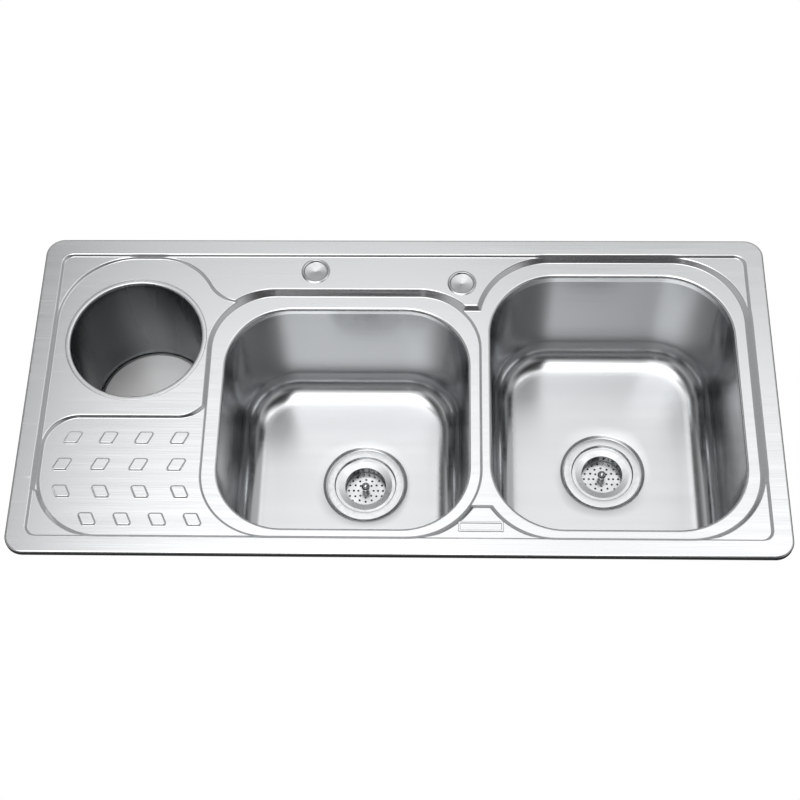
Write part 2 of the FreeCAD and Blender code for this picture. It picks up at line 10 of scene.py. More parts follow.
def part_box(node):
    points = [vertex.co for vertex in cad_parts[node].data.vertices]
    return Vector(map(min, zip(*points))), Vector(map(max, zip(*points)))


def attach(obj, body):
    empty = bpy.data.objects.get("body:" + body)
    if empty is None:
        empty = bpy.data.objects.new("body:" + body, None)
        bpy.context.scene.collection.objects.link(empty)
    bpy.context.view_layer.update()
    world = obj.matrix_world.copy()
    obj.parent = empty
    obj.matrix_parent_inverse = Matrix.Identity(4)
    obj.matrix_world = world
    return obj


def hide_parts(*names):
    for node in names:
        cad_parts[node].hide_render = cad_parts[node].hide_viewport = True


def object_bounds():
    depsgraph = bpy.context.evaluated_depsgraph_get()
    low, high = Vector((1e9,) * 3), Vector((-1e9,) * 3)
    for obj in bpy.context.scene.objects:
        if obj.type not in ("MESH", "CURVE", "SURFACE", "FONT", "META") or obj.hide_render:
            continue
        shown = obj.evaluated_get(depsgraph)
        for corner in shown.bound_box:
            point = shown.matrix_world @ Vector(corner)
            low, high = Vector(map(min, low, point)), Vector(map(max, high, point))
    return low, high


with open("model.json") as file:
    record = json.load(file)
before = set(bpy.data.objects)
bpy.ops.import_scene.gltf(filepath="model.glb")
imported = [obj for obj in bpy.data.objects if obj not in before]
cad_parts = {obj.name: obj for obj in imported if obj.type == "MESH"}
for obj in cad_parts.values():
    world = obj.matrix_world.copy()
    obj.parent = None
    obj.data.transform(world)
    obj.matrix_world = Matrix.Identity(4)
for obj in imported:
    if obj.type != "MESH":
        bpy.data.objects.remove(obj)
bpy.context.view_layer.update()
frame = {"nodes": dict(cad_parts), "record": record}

# Shapes below are worked out in millimetres in the part's own frame and scaled when a mesh is made.
MM = 0.001
SHEET = 0.8
SHARP = 35.0             # a turned or swept mesh is creased where it bends by more than this, in degrees

# Heights of the pressed deck.
RIM_TOP = 8.0
LEDGE_Z = 5.0
BIN_PAN_Z = 2.5
TRAY_Z = -1.0
CENTRE_PAN_Z = -3.3
COLLAR_END = -14.0
FLOOR_Z = -200.0

# Softness of the pressed edges.
CREST = 0.9
VALLEY = 0.6
RIM_ROLL = 3.0
EDGE_ROLL = 4.0
STAGGER = 0.3            # each deeper pan opens this much wider at the rim

# Where the rim band drops to the ledge, and how steep the front slopes are.
STEP_X = 475.5
STEP_REAR = 215.2
STEP_FRONT = -216.5
FRONT_RUN = 0.65

FLOOR_ROLL = 38.0
BOWL_DRAFT = 8.0
BOWL_CORNER = {"centre": 88.0, "right": 93.0}
BOWL_ARC_STEPS = 24
BOWL_GAP = 8.0           # spacing of points along a bowl's straight sides
LAP = 6.0                # height of the lap joint around each deck collar
RECESS_R = 56.0
RECESS_DEPTH = 3.0
RECESS_ROLL = 1.6        # the floor is flat up to this far outside the recess's slope
DRAIN_HOLE_R = 45.0


def box_mm(node):
    """Lowest and highest corner of a CAD node, in millimetres."""
    low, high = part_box(node)
    return np.array(low) / MM, np.array(high) / MM


def centre_mm(node):
    """Plan centre of a CAD node, in millimetres."""
    low, high = box_mm(node)
    return (low[:2] + high[:2]) / 2


# ------------------------------------------------------------------ outlines

class Outline:
    """A rounded polygon, listed anticlockwise, to walk at any offset or to measure distance from."""

    def __init__(self, points, radii):
        self.arcs = []
        self.lines = []
        points = np.array(points, float)
        ends = []
        for i, here in enumerate(points):
            back = points[i - 1] - here
            ahead = points[(i + 1) % len(points)] - here
            back /= np.linalg.norm(back)
            ahead /= np.linalg.norm(ahead)
            half = math.acos(float(np.clip(back @ ahead, -1, 1))) / 2
            reach = radii[i] / math.tan(half)
            start = here + back * reach
            bisector = (back + ahead) / np.linalg.norm(back + ahead)
            centre = here + bisector * radii[i] / math.sin(half)
            turn = -back[0] * ahead[1] + back[1] * ahead[0]
            side = 1.0 if turn > 0 else -1.0
            first = math.atan2(*(start - centre)[::-1])
            self.arcs.append((centre, radii[i], first, side * (math.pi - 2 * half), side))
            ends.append((start, here + ahead * reach))
        for i, (_, tail) in enumerate(ends):
            self.lines.append((tail, ends[(i + 1) % len(ends)][0]))

    def walk(self, grow=0.0, arc_steps=18, gap=12.0):
        """Points and outward normals round the outline, moved out by grow; their count stays the same."""
        points = []
        normals = []
        for (centre, radius, first, sweep, side), (tail, head) in zip(self.arcs, self.lines):
            angles = first + sweep * np.arange(arc_steps) / arc_steps
            radial = np.stack([np.cos(angles), np.sin(angles)], 1)
            points.append(centre + radial * max(radius + side * grow, 0.01))
            normals.append(radial * side)
            length = np.linalg.norm(head - tail)
            steps = max(int(length / gap), 1)
            along = (head - tail) / max(length, 1e-9)
            normal = np.array([along[1], -along[0]])
            if length < 1e-6:
                normal = np.array([math.cos(first + sweep), math.sin(first + sweep)]) * side
            points.append(tail + np.outer(np.arange(steps) * length / steps, along) + normal * grow)
            normals.append(np.tile(normal, (steps, 1)))
        return np.concatenate(points), np.concatenate(normals)

    def distance(self, where):
        """Signed distance (negative inside) and its gradient at many points."""
        best = np.full(len(where), 1e9)
        signed = np.full(len(where), 1e9)
        gradient = np.zeros_like(where)

        def take(valid, value, slope):
            closer = valid & (np.abs(value) < best)
            best[closer] = np.abs(value)[closer]
            signed[closer] = value[closer]
            gradient[closer] = slope[closer]

        for centre, radius, first, sweep, side in self.arcs:
            spoke = where - centre
            reach = np.maximum(np.linalg.norm(spoke, axis=1), 1e-9)
            angle = np.arctan2(spoke[:, 1], spoke[:, 0]) - (first + sweep / 2)
            angle = np.abs((angle + math.pi) % (2 * math.pi) - math.pi)
            take(angle <= abs(sweep) / 2 + 1e-6, (reach - radius) * side, spoke / reach[:, None] * side)
        for tail, head in self.lines:
            length = np.linalg.norm(head - tail)
            if length < 1e-6:
                continue
            along = (head - tail) / length
            normal = np.array([along[1], -along[0]])
            run = (where - tail) @ along
            take((run >= -1e-6) & (run <= length + 1e-6), (where - tail) @ normal,
                 np.tile(normal, (len(where), 1)))
        return signed, gradient


def rounded_box(x0, x1, y0, y1, corner):
    """A rounded rectangle outline."""
    return Outline([(x0, y0), (x1, y0), (x1, y1), (x0, y1)], [corner] * 4)


def circle_outline(centre, radius):
    """A circle as an outline."""
    x, y = centre
    return rounded_box(x - radius, x + radius, y - radius, y + radius, radius)


# ------------------------------------------------------------------ meshes

def add_object(name, mesh, material, body):
    """Link a finished mesh, give it its material and let it ride on a body."""
    item = bpy.data.objects.new(name, mesh)
    bpy.context.scene.collection.objects.link(item)
    mesh.materials.append(material)
    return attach(item, body)


def swept_mesh(name, rings):
    """A closed mesh through rings of points in mm; the rings close on themselves and on each other."""
    count = len(rings[0])
    points = np.concatenate(rings)
    index = np.arange(len(points)).reshape(len(rings), count)
    a = index
    b = np.roll(index, -1, axis=1)
    c = np.roll(b, -1, axis=0)
    d = np.roll(index, -1, axis=0)
    faces = np.stack([a, b, c, d], -1).reshape(-1, 4)
    corner = points[faces]
    volume = np.sum(np.cross(corner[:, 1] - corner[:, 0], corner[:, 2] - corner[:, 0]) * corner[:, 0])
    if volume < 0:
        faces = faces[:, ::-1]
    mesh = bpy.data.meshes.new(name)
    mesh.from_pydata((points * MM).tolist(), [], faces.tolist())
    mesh.shade_smooth()
    mesh.set_sharp_from_angle(angle=math.radians(SHARP))
    return mesh


def flat_ring(points, z):
    """Plan points lifted to a height."""
    return np.column_stack([points, np.full(len(points), z)])


def circle_points(centre, radius, angles):
    """Plan points on a circle."""
    return np.stack([centre[0] + radius * np.cos(angles), centre[1] + radius * np.sin(angles)], 1)


def lathe_mesh(name, profile, centre, segments, arc_steps):
    """A turned mesh: profile is a closed Outline in (radius, z), anticlockwise."""
    angles = np.arange(segments) * 2 * math.pi / segments
    section, _ = profile.walk(0.0, arc_steps, 1e9)
    rings = [flat_ring(circle_points(centre, r, angles), z) for r, z in section]
    return swept_mesh(name, rings)


# ------------------------------------------------------------------ deck surface

def smooth_ramp(value, slope, soft):
    """max(0, value) with a rounded foot, and its gradient."""
    rounded = (value + soft) ** 2 / (4 * soft)
    out = np.where(value >= soft, value, np.where(value <= -soft, 0.0, rounded))
    rate = np.clip((value + soft) / (2 * soft), 0.0, 1.0)
    return out, slope * rate[:, None]


def smooth_min(a, slope_a, b, slope_b, soft):
    """min(a, b) with a rounded crest, and its gradient."""
    share = np.clip(0.5 + 0.5 * (b - a) / soft, 0.0, 1.0)
    out = b * (1 - share) + a * share - soft * share * (1 - share)
    return out, slope_a * share[:, None] + slope_b * (1 - share)[:, None]


def smooth_step(value, slope, start, end):
    """0 to 1 as value goes from start to end, and its gradient."""
    share = np.clip((value - start) / (end - start), 0.0, 1.0)
    rate = 6 * share * (1 - share) / (end - start)
    return share * share * (3 - 2 * share), slope * rate[:, None]


def inset(z, order):
    """Plan distance from the rim step to where a 45 degree slope reaches height z."""
    return RIM_TOP - z - STAGGER * order


def front_y(z, order):
    """Where the steeper front slope reaches height z."""
    return STEP_FRONT + FRONT_RUN * inset(z, order)


bin_centre = centre_mm("bin_can")
HIDDEN_CORNER = 2.0      # corners of a pan that lie inside a deeper pan
LEDGE_CORNER = 13.0
TRAY_REAR = -41.5        # where the drainer tray ends at the bin's pan
TRAY_REAR_CORNER = 44.0
LEDGE_IN = inset(LEDGE_Z, 0)
BIN_X = -STEP_X + inset(BIN_PAN_Z, 1)
BIN_REAR = STEP_REAR - inset(BIN_PAN_Z, 1)
TRAY_X = -STEP_X + inset(TRAY_Z, 2)
TRAY_FRONT = front_y(TRAY_Z, 2)
RIGHT_IN = inset(TRAY_Z, 3)
CENTRE_FRONT = front_y(CENTRE_PAN_Z, 4)
# each pressed level: its height, where its front edge lies, and its outlines
PANS = (
    (LEDGE_Z, front_y(LEDGE_Z, 0), (
        rounded_box(-STEP_X + LEDGE_IN, STEP_X - LEDGE_IN, front_y(LEDGE_Z, 0), STEP_REAR - LEDGE_IN,
                    LEDGE_CORNER),)),
    (BIN_PAN_Z, front_y(BIN_PAN_Z, 1), (
        Outline([(BIN_X, -150.0), (-245.0, -150.0), (-180.0, 100.0), (-180.0, 138.0), (-250.0, 138.0),
                 (-291.7, BIN_REAR), (BIN_X, BIN_REAR)],
                [HIDDEN_CORNER] * 4 + [53.0, 84.0, 101.0]),)),
    (TRAY_Z, TRAY_FRONT, (
        Outline([(TRAY_X, TRAY_FRONT), (-150.0, TRAY_FRONT), (-150.0, 60.0), (-250.0, 60.0),
                 (-250.0, TRAY_REAR), (TRAY_X, TRAY_REAR)],
                [85.0] + [HIDDEN_CORNER] * 3 + [TRAY_REAR_CORNER] * 2),
        rounded_box(107.4, STEP_X - RIGHT_IN, front_y(TRAY_Z, 3), STEP_REAR - RIGHT_IN, 96.0),
        rounded_box(60.0, 150.0, -166.0, 128.0, HIDDEN_CORNER))),
    (CENTRE_PAN_Z, CENTRE_FRONT, (
        Outline([(-257.0, CENTRE_FRONT), (106.6, CENTRE_FRONT), (106.6, 152.0), (-257.0, 152.0)],
                [90.0, 96.0, 84.0, 84.0]),)),
)
RIM_CORNER = 25.0
STUD_LENGTH = 18.5
STUD_DEPTH = 17.0
STUD_SLANT = 8.0
STUD_CORNER = 3.0
STUD_REACH = 20.0        # no stud goes further than this from its centre
STUD_HEIGHT = 1.7
STUD_RUN = 1.5           # a stud's sloping edge ends this far inside its outline
STUD_FOOT = 1.2          # and starts this far outside it
STUD_REAR_Y = -71.0
STUD_ROW_PITCH = 39.3
STUD_COLUMNS = 4
STUD_FIRST_X = (-430.0, -440.0, -437.0, -399.0)
STUD_LAST_X = (-289.0, -290.0, -283.0, -263.0)
STUD_LEANS = (1.0, 1.0, -1.0, -1.0)


def stud_outlines():
    """The sixteen draining studs, as outlines of their feet."""
    studs = []
    half = STUD_LENGTH / 2
    deep = STUD_DEPTH / 2
    for row, (first_x, last_x, lean) in enumerate(zip(STUD_FIRST_X, STUD_LAST_X, STUD_LEANS)):
        y = STUD_REAR_Y - row * STUD_ROW_PITCH
        slant = lean * STUD_SLANT / 2
        for x in np.linspace(first_x, last_x, STUD_COLUMNS):
            studs.append(Outline([(x - half - slant, y - deep), (x + half - slant, y - deep),
                                  (x + half + slant, y + deep), (x - half + slant, y + deep)],
                                 [STUD_CORNER] * 4))
    return studs


STUDS = stud_outlines()
BIN_SEAT_R = 96.3
BIN_SEAT = 1.0
BIN_SEAT_EDGE = (-0.2, 0.5)     # the seat's edge runs between these distances from its radius
FAR = 1e9


def pan_surface(pan, where):
    """Height and gradient of one pressed level and the slope that rises from its edge."""
    level, front, outlines = pan
    steep = where[:, 1] < front
    warped = where.copy()
    warped[steep, 1] = front + (where[steep, 1] - front) / FRONT_RUN
    gap = np.full(len(where), FAR)
    gap_slope = np.zeros_like(where)
    for outline in outlines:
        signed, gradient = outline.distance(warped)
        closer = signed < gap
        gap[closer] = signed[closer]
        gap_slope[closer] = gradient[closer]
    gap_slope[steep, 1] /= FRONT_RUN
    rise, rise_slope = smooth_ramp(gap, gap_slope, VALLEY)
    return level + rise, rise_slope


def deck_height(where):
    """Height of the pressed deck and its gradient at plan points."""
    z = np.full(len(where), RIM_TOP)
    slope = np.zeros_like(where)
    for pan in PANS:
        pan_z, pan_slope = pan_surface(pan, where)
        z, slope = smooth_min(z, slope, pan_z, pan_slope, CREST)
    for stud in STUDS:
        middle = np.mean([arc[0] for arc in stud.arcs], axis=0)
        near = np.abs(where - middle).max(1) < STUD_REACH
        if near.any():
            signed, gradient = stud.distance(where[near])
            bump, bump_slope = smooth_step(-signed, -gradient, -STUD_FOOT, STUD_RUN)
            z[near] += STUD_HEIGHT * bump
            slope[near] += STUD_HEIGHT * bump_slope
    spoke = where - bin_centre
    radius = np.linalg.norm(spoke, axis=1)
    seat_start, seat_end = (BIN_SEAT_R + d for d in BIN_SEAT_EDGE)
    seat, seat_slope = smooth_step(radius, spoke / radius[:, None], seat_start, seat_end)
    z -= BIN_SEAT * (1 - seat)
    slope += BIN_SEAT * seat_slope
    return z, slope


# How closely the deck's mesh follows its steps.
ROW_OFFSETS = (-0.9, -0.6, -0.3, 0.0, 0.3, 0.6, 0.9)     # rows of points across the crest and foot of a step
ROW_SLACK = 1.4          # a row is kept where its level is the lowest, or less than this above it
ROW_ARC_STEPS = 26
ROW_GAP = 5.0
STUD_ROWS = np.linspace(STUD_FOOT, -STUD_RUN, 7)
STUD_ARC_STEPS = 6
STUD_GAP = 2.5
SEAT_ROWS = (-0.2, -0.03, 0.15, 0.33, 0.5)
LATTICE = 2.0            # spacing where two slopes meet
LATTICE_SPLIT = (-0.67, 0.0, 0.67)
SLOPING = 0.2            # a slope steeper than this counts as a step
SLOPES_DIFFER = 0.12
MEETING_SLACK = 1.6      # two slopes meet where both are within this of the lowest level
GRID = 14.0              # spacing on the flats


def near_lowest(points, own):
    """Where one level's surface is the lowest or nearly so."""
    others = [np.full(len(points), RIM_TOP)]
    others += [pan_surface(pan, points)[0] for pan in PANS if pan[0] != own[0]]
    return pan_surface(own, points)[0] < np.min(others, axis=0) + ROW_SLACK


def plan_grid(xs, ys):
    """All plan points of a grid."""
    return np.stack(np.meshgrid(xs, ys), -1).reshape(-1, 2)


def deck_lines():
    """Plan lines that follow every step of the deck closely, and loose points for its flats."""
    levels = [RIM_TOP] + [level for level, _, _ in PANS]
    lines = []
    for pan in PANS:
        level, front, outlines = pan
        rows = {round(d, 2) for d in ROW_OFFSETS}
        rows |= {round(upper - level + d, 2) for upper in levels if upper > level for d in ROW_OFFSETS}
        for outline in outlines:
            for grow in sorted(rows):
                points, _ = outline.walk(grow, ROW_ARC_STEPS, ROW_GAP)
                steep = points[:, 1] < front
                points[steep, 1] = front + (points[steep, 1] - front) * FRONT_RUN
                lines.append((points, near_lowest(points, pan)))
    loops = [stud.walk(grow, STUD_ARC_STEPS, STUD_GAP)[0] for stud in STUDS for grow in STUD_ROWS]
    around = np.radians(np.arange(0, 360, 3.0))
    loops += [circle_points(bin_centre, BIN_SEAT_R + d, around) for d in SEAT_ROWS]
    lines += [(loop, np.ones(len(loop), bool)) for loop in loops]

    # where two slopes meet, a fine lattice
    lattice = plan_grid(np.arange(-478, 479, LATTICE), np.arange(-220, 219, LATTICE))
    sheets = [pan_surface(pan, lattice) for pan in PANS]
    lowest = np.min([z for z, _ in sheets] + [np.full(len(lattice), RIM_TOP)], axis=0)
    meeting = np.zeros(len(lattice), bool)
    for i, (z, slope) in enumerate(sheets):
        sloping = (np.linalg.norm(slope, axis=1) > SLOPING) & (z < lowest + MEETING_SLACK)
        for other_z, other_slope in sheets[:i]:
            differ = np.linalg.norm(slope - other_slope, axis=1) > SLOPES_DIFFER
            other_sloping = np.linalg.norm(other_slope, axis=1) > SLOPING
            meeting |= sloping & differ & (other_z < lowest + MEETING_SLACK) & other_sloping
    offsets = plan_grid(LATTICE_SPLIT, LATTICE_SPLIT)
    grid = plan_grid(np.arange(-490, 491, GRID), np.arange(-231, 232, GRID))
    return lines, np.concatenate([lattice[meeting] + offset for offset in offsets] + [grid])


VERTEX_GRID = 500        # vertices at the same place to within a part of a mm are one
ROLL_ROWS = 8


class Sheet:
    """An open surface with its own normals, gathered piece by piece and then given a thickness."""

    def __init__(self):
        self.points = []
        self.normals = []
        self.faces = []
        self.lookup = {}

    def vertex(self, point, normal):
        """Index of a vertex, shared with any earlier one at the same place."""
        key = tuple(int(round(v * VERTEX_GRID)) for v in point)
        if key not in self.lookup:
            self.lookup[key] = len(self.points)
            self.points.append(point)
            self.normals.append(normal)
        return self.lookup[key]

    def strip(self, rings, normals):
        """Quads between successive closed rings."""
        rows = [[self.vertex(p, n) for p, n in zip(ring, normal)] for ring, normal in zip(rings, normals)]
        for upper, lower in zip(rows, rows[1:]):
            for i in range(len(upper)):
                j = (i + 1) % len(upper)
                self.faces.append([upper[i], upper[j], lower[j], lower[i]])

    def solid(self, name, thickness):
        """The closed mesh of this surface and a copy of it moved in by the thickness."""
        points = np.array(self.points)
        normals = np.array(self.normals)
        normals /= np.linalg.norm(normals, axis=1)[:, None]
        count = len(points)
        faces = []
        for face in self.faces:
            corner = points[face]
            facing = np.cross(corner[1] - corner[0], corner[2] - corner[0]) @ normals[face].sum(0)
            faces.append(face if facing > 0 else face[::-1])
        directed = {(f[i - 1], f[i]) for f in faces for i in range(len(f))}
        open_edges = [(i, j) for i, j in directed if (j, i) not in directed]
        back = [[i + count for i in reversed(face)] for face in faces]
        sides = [[j, i, i + count, j + count] for i, j in sorted(open_edges)]
        everything = np.concatenate([points, points - normals * thickness]) * MM
        mesh = bpy.data.meshes.new(name)
        mesh.from_pydata(everything.tolist(), [], faces + back + sides)
        mesh.shade_smooth()
        mesh.normals_split_custom_set_from_vertices(np.concatenate([normals, -normals]).tolist())
        return mesh


def roll_strip(sheet, outline, start, level, radius, end_z, turn):
    """A rolled edge from the flat at height level down to a vertical wall ending at end_z.

    turn is 1 when the metal lies inside the outline and the roll goes outward, -1 the other way.
    """
    rings = []
    normals = []
    for angle in np.radians(np.linspace(0, 90, ROLL_ROWS)):
        points, outward = outline.walk(start + turn * radius * math.sin(angle))
        rings.append(flat_ring(points, level - radius * (1 - math.cos(angle))))
        normals.append(np.column_stack([outward * turn * math.sin(angle),
                                        np.full(len(points), math.cos(angle))]))
    rings.append(flat_ring(outline.walk(start + turn * radius)[0], end_z))
    normals.append(normals[-1])
    sheet.strip(rings, normals)


def opening_outline(name):
    """The bowl opening, from the CAD bowl, whose lap stands two sheets outside it."""
    low, high = box_mm("bowl_" + name)
    return rounded_box(low[0] + 2 * SHEET, high[0] - 2 * SHEET, low[1] + 2 * SHEET, high[1] - 2 * SHEET,
                       BOWL_CORNER[name])


BIN_HOLE_R = 93.0
BIN_HOLE_ROLL = 1.0
TAP_HOLE_R = 17.5
CLEAR_OF_ROLL = 0.5      # points on the flats keep this far from a rolled edge
MERGE = 1e-4             # plan points closer than this are one


def deck_mesh():
    """The pressed top: rim, pans, studs and collars as one sheet."""
    low, high = box_mm("deck")
    rim = rounded_box(low[0], high[0], low[1], high[1], RIM_CORNER)
    centre = opening_outline("centre")
    right = opening_outline("right")
    bin_hole = circle_outline(bin_centre, BIN_HOLE_R)
    taps = [circle_outline(centre_mm("tap_cap_" + side), TAP_HOLE_R) for side in ("left", "right")]
    # each hole in the flat part of the sheet: outline, where the flat ends, and the roll beyond it
    holes = [(centre, EDGE_ROLL), (right, EDGE_ROLL), (bin_hole, BIN_HOLE_ROLL)]
    holes += [(tap, 0.0) for tap in taps]

    def on_flat(points, margin):
        """Which plan points lie on the formed part of the sheet, clear of every rolled edge."""
        keep = rim.distance(points)[0] < -RIM_ROLL - margin
        for hole, roll in holes:
            keep &= hole.distance(points)[0] > roll + margin
        return keep

    lines, loose = deck_lines()
    lines = [(points, mask & on_flat(points, CLEAR_OF_ROLL)) for points, mask in lines]
    loops = [rim.walk(-RIM_ROLL)[0]] + [hole.walk(roll)[0] for hole, roll in holes]
    lines += [(loop, np.ones(len(loop), bool)) for loop in loops]
    points = []
    edges = []
    for line, mask in lines:
        first = len(points)
        points += [Vector(p) for p in line]
        edges += [(first + i, first + (i + 1) % len(line)) for i in range(len(line))
                  if mask[i] and mask[(i + 1) % len(line)]]
    used = sorted({i for edge in edges for i in edge})
    place = {i: k for k, i in enumerate(used)}
    points = [points[i] for i in used] + [Vector(p) for p in loose[on_flat(loose, CLEAR_OF_ROLL)]]
    edges = [(place[i], place[j]) for i, j in edges]
    flat, _, triangles, _, _, _ = delaunay_2d_cdt(points, edges, [], 0, MERGE)
    flat = np.array([tuple(p) for p in flat])
    triangles = np.array(triangles)
    keep = on_flat(flat[triangles].mean(1), 0.0)
    z, slope = deck_height(flat)
    sheet = Sheet()
    order = [sheet.vertex((x, y, h), (-gx, -gy, 1.0)) for (x, y), h, (gx, gy) in zip(flat, z, slope)]
    sheet.faces = [[order[i] for i in triangle] for triangle in triangles[keep]]

    roll_strip(sheet, rim, -RIM_ROLL, RIM_TOP, RIM_ROLL, 0.0, 1)
    roll_strip(sheet, centre, EDGE_ROLL, CENTRE_PAN_Z, EDGE_ROLL, COLLAR_END, -1)
    roll_strip(sheet, right, EDGE_ROLL, TRAY_Z, EDGE_ROLL, COLLAR_END, -1)
    roll_strip(sheet, bin_hole, BIN_HOLE_ROLL, BIN_PAN_Z - BIN_SEAT, BIN_HOLE_ROLL, COLLAR_END, -1)
    return sheet.solid("deck_pressing", SHEET)


# ------------------------------------------------------------------ bowls, bin, drains and caps

WALL_ROWS = 5
FILLET_ROWS = 14
FLOOR_ROWS = 7
# the drain seat's edge, from its roll to the hole: distance from the recess radius, drop, slope in degrees
RECESS_EDGE = ((3.8, 0.2, 20), (3.1, 0.6, 40), (0.8, 2.5, 40), (0.2, 2.85, 20), (-0.6, RECESS_DEPTH, 0),
               (DRAIN_HOLE_R - RECESS_R, RECESS_DEPTH, 0))
# the lap outside the deck's collar: distance outside the opening, height from the collar's end
LAP_SECTION = ((SHEET, -2.6), (2 * SHEET, -1.6), (2 * SHEET, LAP), (SHEET, LAP), (SHEET, 0.0))


def bowl_mesh(name):
    """A drawn bowl: drafted wall, rolled floor, sunk drain seat, and the lap round the deck collar."""
    outline = opening_outline(name)
    drain = centre_mm("strainer_body_" + name)
    lean = math.atan2(BOWL_DRAFT, COLLAR_END - FLOOR_Z)
    rings = []
    normals = []

    def wall_ring(grow, z, tilt):
        points, outward = outline.walk(grow, BOWL_ARC_STEPS, BOWL_GAP)
        rings.append(flat_ring(points, z))
        normals.append(np.column_stack([-outward * math.cos(tilt), np.full(len(points), math.sin(tilt))]))

    fillet_z = FLOOR_Z + FLOOR_ROLL
    wall_foot = fillet_z - FLOOR_ROLL * math.sin(lean)
    foot_in = (COLLAR_END - wall_foot) * math.tan(lean)
    for share in np.linspace(0, 1, WALL_ROWS):
        wall_ring(-foot_in * share, COLLAR_END + (wall_foot - COLLAR_END) * share, lean)
    centre_in = foot_in + FLOOR_ROLL * math.cos(lean)
    for tilt in np.linspace(lean, math.pi / 2, FILLET_ROWS)[1:]:
        wall_ring(-centre_in + FLOOR_ROLL * math.cos(tilt), fillet_z - FLOOR_ROLL * math.sin(tilt), tilt)

    floor_edge = rings[-1][:, :2]
    angles = np.arctan2(*(floor_edge - drain).T[::-1])
    up = np.tile([0.0, 0.0, 1.0], (len(angles), 1))
    well_top = circle_points(drain, RECESS_R + RECESS_DEPTH + RECESS_ROLL, angles)
    for share in np.linspace(0, 1, FLOOR_ROWS)[1:]:
        rings.append(flat_ring(floor_edge * (1 - share) + well_top * share, FLOOR_Z))
        normals.append(up)
    spokes = np.stack([np.cos(angles), np.sin(angles)], 1)
    for outside, drop, degrees in RECESS_EDGE:
        tilt = math.radians(degrees)
        rings.append(flat_ring(circle_points(drain, RECESS_R + outside, angles), FLOOR_Z - drop))
        normals.append(np.column_stack([-spokes * math.sin(tilt), np.full(len(angles), math.cos(tilt))]))
    outer = [ring - normal * SHEET for ring, normal in zip(rings, normals)][::-1]
    lap = [flat_ring(outline.walk(grow, BOWL_ARC_STEPS, BOWL_GAP)[0], COLLAR_END + z)
           for grow, z in LAP_SECTION]
    return swept_mesh("drawn_bowl_" + name, rings + outer[:-1] + lap)


BIN_TOP_R = 89.5
BIN_FOOT_R = 82.0
BIN_STEPS = 180
BIN_ARC_STEPS = 8
BIN_WALL_ROWS = 12
MOUTH_ROLL = 3.2         # height that the roll at the mouth takes up
SEAM_ANGLE = 97.0        # the can's weld seam, from +X
SEAM_WIDTH = 1.5
SEAM_HEIGHT = 0.45
SEAM_TOP = 5.0           # the seam starts this far below the lip


def bin_mesh():
    """The rolled can with its hanging flange, and the weld seam down its rear."""
    low, high = box_mm("bin_can")
    flange_r = (high[0] - low[0]) / 2
    lip = BIN_PAN_Z - BIN_SEAT
    foot = low[2]
    angles = np.arange(BIN_STEPS) * 2 * math.pi / BIN_STEPS
    fall = lip - MOUTH_ROLL - foot
    profile = Outline(
        [(BIN_FOOT_R, foot), (BIN_FOOT_R + SHEET, foot), (BIN_TOP_R + SHEET + 0.1, lip), (flange_r, lip),
         (flange_r, lip + SHEET), (BIN_TOP_R + 0.1, lip + SHEET)],
        [0.15, 0.15, 1.6, 0.2, 0.35, 2.4])
    section, _ = profile.walk(0.0, BIN_ARC_STEPS, fall / BIN_WALL_ROWS)
    seam = np.radians(np.abs((np.degrees(angles) - SEAM_ANGLE + 180) % 360 - 180)) * BIN_FOOT_R
    ridge = SEAM_HEIGHT * np.exp(-(seam / SEAM_WIDTH) ** 2)
    rings = []
    for r, z in section:
        wall_r = BIN_TOP_R + (BIN_TOP_R - BIN_FOOT_R) * (z - lip) / (lip - foot)
        inner = r < wall_r - SHEET / 2 and z < lip - SEAM_TOP
        rings.append(flat_ring(circle_points(bin_centre, r - ridge * inner, angles), z))
    return swept_mesh("rolled_can", rings)


FLANGE_R = 55.0
SEAT_R = 43.2            # wall round the basket's seat
SEAT_CREST = 1.2         # depth at which the flange's inner edge becomes that wall
SEAT_DEPTH = 4.8
CUP_R = 40.3
CUP_DEPTH = 42.0
CONE_DROP = 8.0          # from the cup's floor to the outlet
OUTLET_R = 23.9
OUTLET_WALL = 1.4


def strainer_mesh(name):
    """The drain body: flange, basket seat, cup, cone and outlet."""
    low, high = box_mm("strainer_body_" + name)
    top = high[2]
    ledge = top - SEAT_DEPTH
    cup_floor = top - CUP_DEPTH
    neck = cup_floor - CONE_DROP
    seat_out = SEAT_R + SHEET
    bore = OUTLET_R - OUTLET_WALL
    profile = Outline(
        [(bore, low[2]), (OUTLET_R, low[2]), (OUTLET_R, neck - SHEET), (CUP_R, cup_floor - SHEET),
         (CUP_R, ledge - SHEET), (seat_out, ledge - SHEET), (seat_out, top - SHEET),
         (FLANGE_R, top - SHEET), (FLANGE_R, top), (seat_out, top), (SEAT_R, top - SEAT_CREST),
         (SEAT_R, ledge), (CUP_R - SHEET, ledge), (CUP_R - SHEET, cup_floor), (bore, neck)],
        [0.3, 0.3, 1.0, 1.0, 0.6, 0.6, 0.3, 0.25, 0.5, 0.6, 0.5, 0.5, 0.9, 1.5, 1.0])
    return lathe_mesh("turned_strainer_" + name, profile, centre_mm("strainer_body_" + name),
                      segments=144, arc_steps=4)


CAP_R = 20.0
CAP_STUD_R = 3.0
AXIS_R = 0.02            # a turned profile stops just short of its axis


